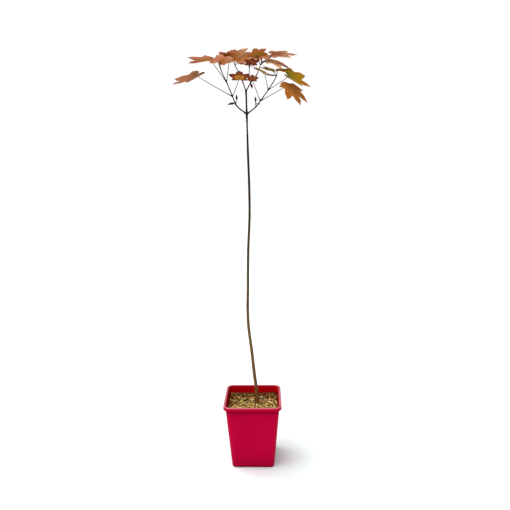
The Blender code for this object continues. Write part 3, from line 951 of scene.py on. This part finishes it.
def trunk_relief(point, out):
    """Fine fissures along the stem, shallow lumps, and a ridge with a scar at each node."""
    around = out * FISSURE_PACE[0]
    fissure = noise.noise(Vector((around.x, around.y, point.z * FISSURE_PACE[1])))
    across, along = FINE_PACE
    fine = noise.noise(Vector((around.x * across, around.y * across, point.z * along)))
    lump = noise.noise(Vector((out.x, out.y, point.z * LUMP_PACE)))
    height = FISSURE_DEPTH * (min(fissure, FISSURE_CAP) + FINE_SHARE * fine) + LUMP_DEPTH * lump
    for place, swelling in TRUNK_NODES:
        away = (point.z - place * MM) / NODE_REACH
        if abs(away) < NODE_END:
            ring = NODE_RING * swelling
            side = abs(out.x * cos(place) + out.y * sin(place))
            height += ring * (NODE_EVENNESS + side) * exp(-away * away)
            height -= SCAR_SHARE * ring * exp(-((away - SCAR_RISE) * SCAR_NARROWNESS) ** 2)
    return height


def limb_relief(point, out):
    """A fine unevenness of young bark."""
    across, along = LIMB_PACE
    return LIMB_RELIEF * noise.noise(Vector((out.x * across, out.y * across, point.length * along)))


def build_trunk(rng):
    """The trunk's bark, and the pale pores on it."""
    points, radii = trunk_curve()
    shape = Shape()
    sweep(shape, points, radii, TRUNK_SIDES, relief=trunk_relief)
    finish_piece(shape.make("trunk_bark", [bark_material()]), "bark", "trunk")
    spots = Shape()
    for k in range(LENTICELS):
        height = rng.uniform(*(LENTICEL_BAND if k < LENTICELS_IN_BAND else LENTICEL_SPAN)) * MM
        index = min(range(len(points)), key=lambda i: abs(points[i].z - height))
        turn = rng.uniform(0, tau)
        out = ray(turn)
        side = Vector((-out.y, out.x, 0))
        centre = points[index] + out * (radii[index] + trunk_relief(points[index], out))
        wide, high = rng.uniform(*LENTICEL_WIDTH) * MM, rng.uniform(*LENTICEL_HEIGHT) * MM
        ring = []
        for corner in range(LENTICEL_SIDES):
            angle = tau * corner / LENTICEL_SIDES
            sink = (wide * cos(angle)) ** 2 / (2 * radii[index]) + LENTICEL_SINK * MM
            across = side * wide * cos(angle)
            along = Vector((0, 0, high * sin(angle)))
            ring.append(centre + across + along - out * sink)
        ends = [centre + out * LENTICEL_DOME * MM, centre - out * LENTICEL_ROOT * MM]
        pairs = [(c, (c + 1) % LENTICEL_SIDES) for c in range(LENTICEL_SIDES)]
        faces = [(c, after, LENTICEL_SIDES) for c, after in pairs]
        faces += [(after, c, LENTICEL_SIDES + 1) for c, after in pairs]
        spots.add([*ring, *ends], faces)
    mat = mottled("lenticel", LENTICEL_TINT, "lenticel")
    finish_piece(spots.make("trunk_lenticels", [mat]), "bark", "trunk")


def limb_curve(start, diameters, internodes, steps=LIMB_STEPS):
    """The smooth points and radii of a limb that tapers evenly and swells at its nodes."""
    nodes = walk(start, internodes)
    points = smooth(nodes, steps)
    foot, tip = diameters
    radii = []
    for k in range(len(points)):
        share = k / (len(points) - 1)
        near = abs(k / steps - round(k / steps)) * steps
        inside = steps / 2 < k < len(points) - 1 - steps / 2
        swell = 1 + (NODE_SWELL - 1) * exp(-(near**2) / 2) if inside else 1.0
        swell += LIMB_COLLAR * exp(-((k / COLLAR_STEPS) ** 2))
        radii.append((foot + (tip - foot) * share) / 2 * MM * swell)
    return nodes, points, radii


def build_limbs(mat):
    """Every bough and arm, as one piece, and the shapes that masses and shoots grow from."""
    shape = Shape()
    curves, places = {}, {}
    for name, (start, diameters, internodes) in LIMBS.items():
        if isinstance(start, str):
            start = places[start][1]
        nodes, points, radii = limb_curve(start, diameters, internodes)
        places[name] = nodes
        curves[name] = (points, radii)
        sweep(shape, points, radii, LIMB_SIDES, relief=limb_relief)
    finish_piece(shape.make("limb_bark", [mat]), "twig_bark", *LIMBS)
    return curves, places


# Leaves


def blade_axes(heading, tilt, roll):
    """The midrib's, left side's and upper face's directions."""
    along = direction(heading, tilt)
    left = Vector((-sin(radians(heading)), cos(radians(heading)), 0))
    upper = along.cross(left)
    turn = radians(roll)
    return (
        along,
        left * cos(turn) + upper * sin(turn),
        upper * cos(turn) - left * sin(turn),
    )


def flank(tip, hollow):
    """The edge from a tip towards a hollow, sharp at the tip and round at the hollow."""
    rows = []
    for step in range(EDGE_STEPS):
        share = step / EDGE_STEPS
        angle = tip[0] + (hollow[0] - tip[0]) * share
        rows.append((angle, hollow[1] + (tip[1] - hollow[1]) * (1 - share) ** TIP_SHARPNESS))
    return rows


def half_edge(rng):
    """One side of a blade's edge, from its tip round to its base."""
    tips = [(a, r * (1 + rng.uniform(-LOBE_VARIATION, LOBE_VARIATION))) for a, r in BLADE_TIPS]
    edge = []
    for k, hollow in enumerate(BLADE_HOLLOWS):
        edge += flank(tips[k], hollow) + [hollow]
        if k + 1 < len(tips):
            edge += flank(tips[k + 1], hollow)[:0:-1]
    return edge


def blade_edge(rng, young):
    """The whole edge as (angle, share of the length), anticlockwise from the tip."""
    half, other = (YOUNG_EDGE, YOUNG_EDGE) if young else (half_edge(rng), half_edge(rng))
    return [*half, *((-angle, reach) for angle, reach in other[-2:0:-1])]


def lobe_turn(angle, spread):
    """An outline angle in radians once the lobes are spread, kept on its own side."""
    return radians(max(-180, min(180, angle * spread)))


class Blade:
    """A leaf's curved sheet: its base, its axes, and how it bends."""

    def __init__(self, base, axes, length, droop, fold, spread, place):
        self.base, self.axes, self.length = base, axes, length
        self.droop, self.fold = droop, radians(fold)
        self.spread, self.place = spread, place

    def relief(self, angle, reach):
        """Creases along the main veins, and puckers between the side veins."""
        near = min(VEIN_ANGLES, key=lambda vein: abs(vein - angle))
        apart = radians(angle - near)
        beside = abs(reach * sin(apart)) if abs(apart) < pi / 2 else reach
        along = reach * cos(apart)
        dip = QUILT_HEIGHT * exp(-((beside / QUILT_WIDTH) ** 2))
        crease = dip * reach / (reach + QUILT_START)
        phase = (along - beside / tan(radians(SIDE_VEIN_TURN))) / PUCKER_SPACING
        pucker = PUCKER_HEIGHT * cos(tau * phase) * min(1.0, beside / QUILT_WIDTH)
        return pucker - crease

    def at(self, angle, reach, lift=0.0):
        """The point of the sheet at an angle and a share of its length."""
        turn = lobe_turn(angle, self.spread)
        x, y = reach * cos(turn), reach * sin(turn)
        spot = Vector((x * WAVE_PACE, y * WAVE_PACE, self.place))
        wave = noise.noise(spot) * WAVE_HEIGHT * reach
        rise = abs(y) * sin(self.fold) - self.droop * (x * x + y * y)
        rise += self.relief(angle, reach) + wave
        local = Vector((x, y * cos(self.fold), rise)) * self.length
        along, left, upper = self.axes
        return self.base + along * local.x + left * local.y + upper * (local.z + lift)


def blade_mesh(shape, blade, edge, blush):
    """A closed sheet of even thickness, tinted from its base outwards."""
    count, rings = len(edge), len(BLADE_RINGS)
    tints = list(TINTS)
    points, faces, slots = [], [], []
    for lift in (BLADE_THICKNESS / 2, -BLADE_THICKNESS / 2):
        points.append(blade.at(0, 0, lift))
        for share in BLADE_RINGS:
            points.extend(blade.at(angle, reach * share, lift) for angle, reach in edge)
    side = 1 + count * rings

    def tint(ring, k):
        angle, reach = edge[k]
        share = BLADE_RINGS[ring] * reach
        spot = ray(radians(angle)) * share
        spot.z = blade.place
        share += BLUSH_SPREAD * noise.noise(spot * BLUSH_PACE)
        share += BLUSH_GRAIN * noise.noise(spot * GRAIN_PACE)
        zone = sum(share > bound for bound in BLUSH_BOUNDS)
        return tints.index(blush[zone])

    for k in range(count):
        after = (k + 1) % count
        faces.append((0, 1 + k, 1 + after))
        faces.append((side, side + 1 + after, side + 1 + k))
        slots += [tint(0, k), tint(0, k) + len(tints)]
        for ring in range(rings - 1):
            low, high = 1 + ring * count, 1 + (ring + 1) * count
            faces.append((low + k, high + k, high + after, low + after))
            faces.append((side + low + after, side + high + after, side + high + k, side + low + k))
            slots += [tint(ring + 1, k), tint(ring + 1, k) + len(tints)]
        last = 1 + (rings - 1) * count
        faces.append((last + k, side + last + k, side + last + after, last + after))
        slots.append(tint(rings - 1, k))
    shape.add(points, faces, slots)


def vein_mesh(shape, blade, slot):
    """Main veins to the lobes' tips, with pairs of side veins that lean forwards."""
    for vein, span in zip(VEIN_ANGLES, VEIN_REACH):
        steps = [k / VEIN_STEPS for k in range(VEIN_STEPS + 1)]
        points = [blade.at(vein, VEIN_START + span * t) for t in steps]
        sweep(shape, points, taper(VEIN_DIAMETER, len(points)), VEIN_SIDES, slot)
        for share in SIDE_VEINS:
            for turn in (-SIDE_VEIN_TURN, SIDE_VEIN_TURN):
                points = []
                for t in steps[:: VEIN_STEPS // SIDE_VEIN_STEPS]:
                    out = SIDE_VEIN_LENGTH * span * t * (SIDE_VEIN_FADE - share)
                    x = share * span + out * cos(radians(turn))
                    y = out * sin(radians(turn))
                    reach = hypot(x, y)
                    points.append(blade.at(vein + degrees(atan2(y, x)), reach))
                sweep(shape, points, taper(SIDE_VEIN_DIAMETER, len(points)), VEIN_SIDES, slot)


def build_leaf(node, petiole, blade, blush, shapes, rng, young=False):
    """A petiole that rises from its node in a slight bow, and its blade."""
    length, bearing, rise = petiole
    size, heading, tilt, roll, droop, fold, spread = blade
    size *= MM
    base = node + direction(bearing, rise) * length * MM
    axes = blade_axes(heading, tilt, roll)
    bow = Vector((0, 0, -PETIOLE_SAG * length * MM * cos(radians(rise))))
    route = [node, node.lerp(base, 0.5) + bow, base, base + axes[0] * size * PETIOLE_REACH]
    points = [*smooth(route[:3], PETIOLE_STEPS), route[3]]
    radii = []
    for k, radius in enumerate(taper(PETIOLE_DIAMETER, len(points))):
        heel = 0.0 if young else PETIOLE_HEEL * exp(-((k / HEEL_STEPS) ** 2))
        radii.append(radius * (1 + heel) * (YOUNG_STALK if young else 1))
    radii[-1] *= PETIOLE_END
    sweep(shapes["petioles"], points, radii, PETIOLE_SIDES)
    sheet = Blade(base, axes, size, droop, fold, spread, rng.uniform(0, NOISE_SPAN))
    edge = blade_edge(rng, young)
    blade_mesh(shapes["blades"], sheet, edge, BLUSHES[blush])
    if not young:
        vein_mesh(shapes["veins"], sheet, int(blush in PALE_VEINED))


def bud(shape, place, aim, length):
    """A small bud, round at its foot and pointed at its tip."""
    steps = [k / BUD_STEPS for k in range(BUD_STEPS + 1)]
    points = [place + aim * length * t for t in steps]
    turns = [pi * min(1, BUD_START + (1 - BUD_START) * t) for t in steps]
    radii = [length * BUD_WIDTH * sin(turn) ** BUD_FULLNESS for turn in turns]
    sweep(shape, points, radii, BUD_SIDES)


def build_mass(name, below, internodes, leaves, mats, rng):
    """A stem that runs on from its limb's tip, with buds, petioles, blades and veins."""
    points_below, radii_below = below
    diameter = radii_below[-1] * 2 / MM
    diameters = (diameter, diameter * STEM_TAPER)
    nodes, points, radii = limb_curve(points_below[-1], diameters, internodes)
    shapes = {kind: Shape() for kind in ("twigs", "petioles", "blades", "veins")}
    sweep(shapes["twigs"], points, radii, LIMB_SIDES, relief=limb_relief)
    lift = direction(*internodes[0][1:]) * STEM_LIFT
    for index, petiole, blade, blush in leaves:
        node = nodes[index] + (lift if index == 0 else Vector())
        build_leaf(node, petiole, blade, blush, shapes, rng)
        aim = direction(petiole[1], petiole[2] + BUD_RISE)
        bud(shapes["twigs"], node + aim * radii[-1], aim, rng.uniform(*BUD_LENGTH) * MM)
    bud(shapes["twigs"], nodes[-1], (points[-1] - points[-2]).normalized(), BUD_LENGTH[1] * MM)
    side = name.removeprefix("leaves")
    for kind, shape in shapes.items():
        finish_piece(shape.make(kind + side, mats[kind]), frame_slot(name), name)


def build_shoot(name, node, stem, leaves, mats, rng):
    """A short young shoot, with unopened leaves folded along their midribs."""
    nodes, points, radii = limb_curve(node, SHOOT_DIAMETERS, (stem,))
    shapes = {kind: Shape() for kind in ("stem", "petioles", "blades")}
    sweep(shapes["stem"], points, radii, LIMB_SIDES)
    for share, stalk, blade in leaves:
        at = nodes[0].lerp(nodes[-1], share)
        build_leaf(at, stalk, (*blade, *YOUNG_BEND), "bud", shapes, rng, young=True)
    slot = frame_slot(name)
    finish_piece(shapes["stem"].make("stem_" + name, mats["twigs"]), slot, name)
    finish_piece(shapes["petioles"].make("stalks_" + name, mats["twigs"]), slot, name)
    finish_piece(shapes["blades"].make("young_" + name, mats["blades"]), slot, name)


def build_plant():
    """The trunk, the limbs, the masses of leaves and the shoots."""
    rng = random.Random(SEED)
    twig_bark = mottled("twig_bark", TWIG_TINT, "twig", TWIG_STRETCH)
    mats = {
        "twigs": [twig_bark],
        "petioles": [mottled("petiole_skin", PETIOLE_TINT, "petiole")],
        "blades": leaf_materials(),
        "veins": [mottled("vein_" + name, colour, "vein") for name, colour in VEIN_TINTS],
    }
    build_trunk(rng)
    curves, places = build_limbs(twig_bark)
    for name, (limb, internodes, leaves) in MASSES.items():
        build_mass(name, curves[limb], internodes, leaves, mats, rng)
    for name, (limb, index, stem, leaves) in SHOOTS.items():
        build_shoot(name, places[limb][index], stem, leaves, mats, rng)


# Pieces, stage, light and camera


def frame_slot(node):
    """The record's material slot for a node."""
    return next(row["material_slot"] for row in frame["record"]["subparts"] if row["node"] == node)


def finish_piece(obj, slot, *nodes):
    """Gives a piece its body, in place of these nodes, which it hides; the slot is not used."""
    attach(obj, "root")
    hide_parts(*nodes)


def build_stage():
    """A plain pale floor that runs out of sight, a pale surround and a wide soft light."""
    floor = Shape()
    signs = ((-1, -1), (1, -1), (1, 1), (-1, 1))
    floor.add([Vector((x, y, 0)) * FLOOR_REACH for x, y in signs], [(0, 1, 2, 3)])
    mat = mottled("studio_floor", FLOOR_TINT, "floor")
    floor.make("studio_floor", [mat], smooth=False)
    world = bpy.data.worlds.new("studio")
    bpy.context.scene.world = world
    world.use_nodes = True
    tree = world.node_tree
    surround = tree.nodes["Background"]
    surround.inputs["Color"].default_value = (1, 1, 1, 1)
    aim = add_node(tree, "TexCoord", {}).outputs["Generated"]
    terms = {0: aim, 1: SURROUND_SIDES, 2: SURROUND_LEAN}
    sides = add_node(tree, "VectorMath", terms, operation="MULTIPLY_ADD").outputs["Vector"]
    terms = {0: aim, 1: sides}
    lean = add_node(tree, "VectorMath", terms, operation="DOT_PRODUCT").outputs["Value"]
    terms = {0: lean, 1: SURROUND_STRENGTH, 2: SURROUND_STRENGTH}
    from_there = add_node(tree, "Math", terms, operation="MULTIPLY_ADD").outputs["Value"]
    seen = add_node(tree, "LightPath", {}).outputs["Is Camera Ray"]
    ends = {"Value": seen, "To Min": from_there, "To Max": BACKGROUND_STRENGTH}
    strength = add_node(tree, "MapRange", ends).outputs["Result"]
    tree.links.new(strength, surround.inputs["Strength"])
    data = bpy.data.lights.new("key", "SUN")
    data.energy = KEY_STRENGTH
    data.angle = radians(KEY_WIDTH)
    key = new_object("key", data)
    key.rotation_euler = Vector(KEY_PLACE).to_track_quat("Z", "Y").to_euler()
    bpy.context.scene.view_settings.view_transform = "Standard"


def add_camera():
    """The camera at the photograph's viewing angle."""
    data = bpy.data.cameras.new("camera")
    data.lens = CAMERA_LENS
    data.sensor_width = SENSOR_WIDTH
    camera = new_object("camera", data)
    turn = Matrix.Rotation(radians(CAMERA_TURN), 4, "Z")
    turn = turn @ Matrix.Rotation(radians(90 - CAMERA_DIP), 4, "X")
    turn = turn @ Matrix.Rotation(radians(CAMERA_ROLL), 4, "Z")
    camera.matrix_world = Matrix.Translation(CAMERA_PLACE) @ turn
    bpy.context.scene.camera = camera


add_camera()
build_stage()
build_pot()
build_bed()
build_chips(random.Random(SEED + 1))
build_plant()
